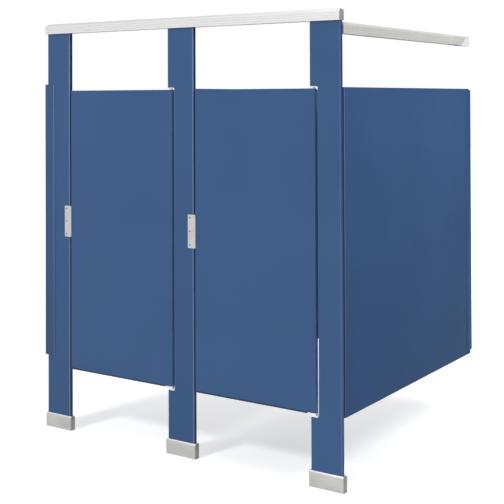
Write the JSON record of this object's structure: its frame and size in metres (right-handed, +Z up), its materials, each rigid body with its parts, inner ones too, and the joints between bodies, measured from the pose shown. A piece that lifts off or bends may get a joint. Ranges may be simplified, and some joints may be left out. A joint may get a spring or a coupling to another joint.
{
  "type": "toilet cubicle",
  "caption": "Corner row of toilet compartments in coated sheet steel: in-swinging doors in notched pilasters, sliding latches, wall channels, shoes and overhead braces.",
  "frame": {"origin": "on the floor, midway between the two anchor holes of the middle pilaster's foot plate, in the mid-plane of the doors", "axes": "+X along the front towards the free end panel, +Y towards the back wall, +Z up"},
  "size_m": [1.8235, 1.4975, 2.156],
  "materials": {
    "powder_coat": "semi-gloss powder coat, mid blue",
    "channel_coat": "semi-gloss powder coat, darker blue",
    "honeycomb": "honeycomb board core, sealed inside the sheets",
    "rail_aluminium": "satin anodised extrusion",
    "rail_fittings": "satin",
    "shoe_steel": "brushed stainless sheet",
    "zinc_steel": "zinc-plated",
    "satin_hardware": "satin plated casting",
    "screw_steel": "plated",
    "pivot_nylon": "satin moulded nylon, light grey",
    "bumper_rubber": "matte"
  },
  "bodies": {
    "frame": {"pilaster_left": "powder_coat", "pilaster_middle": "powder_coat", "pilaster_right": "powder_coat", "pilaster_cores": "honeycomb", "divider_left_sheet": "powder_coat", "divider_right_sheet": "powder_coat", "divider_core": "honeycomb", "end_panel_outer_sheet": "powder_coat", "end_panel_inner_sheet": "powder_coat", "end_panel_core": "honeycomb", "headrail_front": "rail_aluminium", "headrail_side": "rail_aluminium", "headrail_end_cap": "rail_fittings", "headrail_side_socket": "rail_fittings", "headrail_back_socket": "rail_fittings", "headrail_corner_bracket": "rail_fittings", "headrail_screws": "screw_steel", "shoe_left": "shoe_steel", "shoe_middle": "shoe_steel", "shoe_right": "shoe_steel", "foot_plate_left": "zinc_steel", "foot_plate_middle": "zinc_steel", "foot_plate_right": "zinc_steel", "levelling_studs": "zinc_steel", "levelling_nuts": "zinc_steel", "keeper_left": "satin_hardware", "keeper_right": "satin_hardware", "keeper_bumpers": "bumper_rubber", "keeper_screws": "screw_steel", "lower_pivot_left": "pivot_nylon", "lower_pivot_right": "pivot_nylon", "upper_pivot_left": "pivot_nylon", "upper_pivot_right": "pivot_nylon", "pilaster_wall_channel": "channel_coat", "divider_wall_channel": "channel_coat", "end_panel_wall_channel": "channel_coat", "channel_screws": "screw_steel", "divider_brackets": "satin_hardware", "end_panel_brackets": "satin_hardware", "bracket_screws": "screw_steel"},
    "door_left": {"door_left_outer_pan": "powder_coat", "door_left_inner_pan": "powder_coat", "door_left_core": "honeycomb", "door_left_hinge_blocks": "pivot_nylon", "latch_case_left": "satin_hardware", "coat_hook_left": "satin_hardware", "hook_bumper_left": "bumper_rubber", "door_left_screws": "screw_steel"},
    "latch_left": {"latch_bolt_left": "satin_hardware"},
    "door_right": {"door_right_outer_pan": "powder_coat", "door_right_inner_pan": "powder_coat", "door_right_core": "honeycomb", "door_right_hinge_blocks": "pivot_nylon", "latch_case_right": "satin_hardware", "coat_hook_right": "satin_hardware", "hook_bumper_right": "bumper_rubber", "door_right_screws": "screw_steel"},
    "latch_right": {"latch_bolt_right": "satin_hardware"}
  },
  "joints": [
    {"name": "door_left_swing", "type": "hinge", "parent": "frame", "child": "door_left", "pos_m": [-0.067, 0, 1.0615], "axis": [0, 0, -1], "range_deg": [0, 88]},
    {"name": "door_right_swing", "type": "hinge", "parent": "frame", "child": "door_right", "pos_m": [0.753, 0, 1.0615], "axis": [0, 0, -1], "range_deg": [0, 95]},
    {"name": "latch_left_slide", "type": "slide", "parent": "door_left", "child": "latch_left", "axis": [-1, 0, 0], "range_m": [0, 0.022]},
    {"name": "latch_right_slide", "type": "slide", "parent": "door_right", "child": "latch_right", "axis": [-1, 0, 0], "range_m": [0, 0.022]}
  ]
}
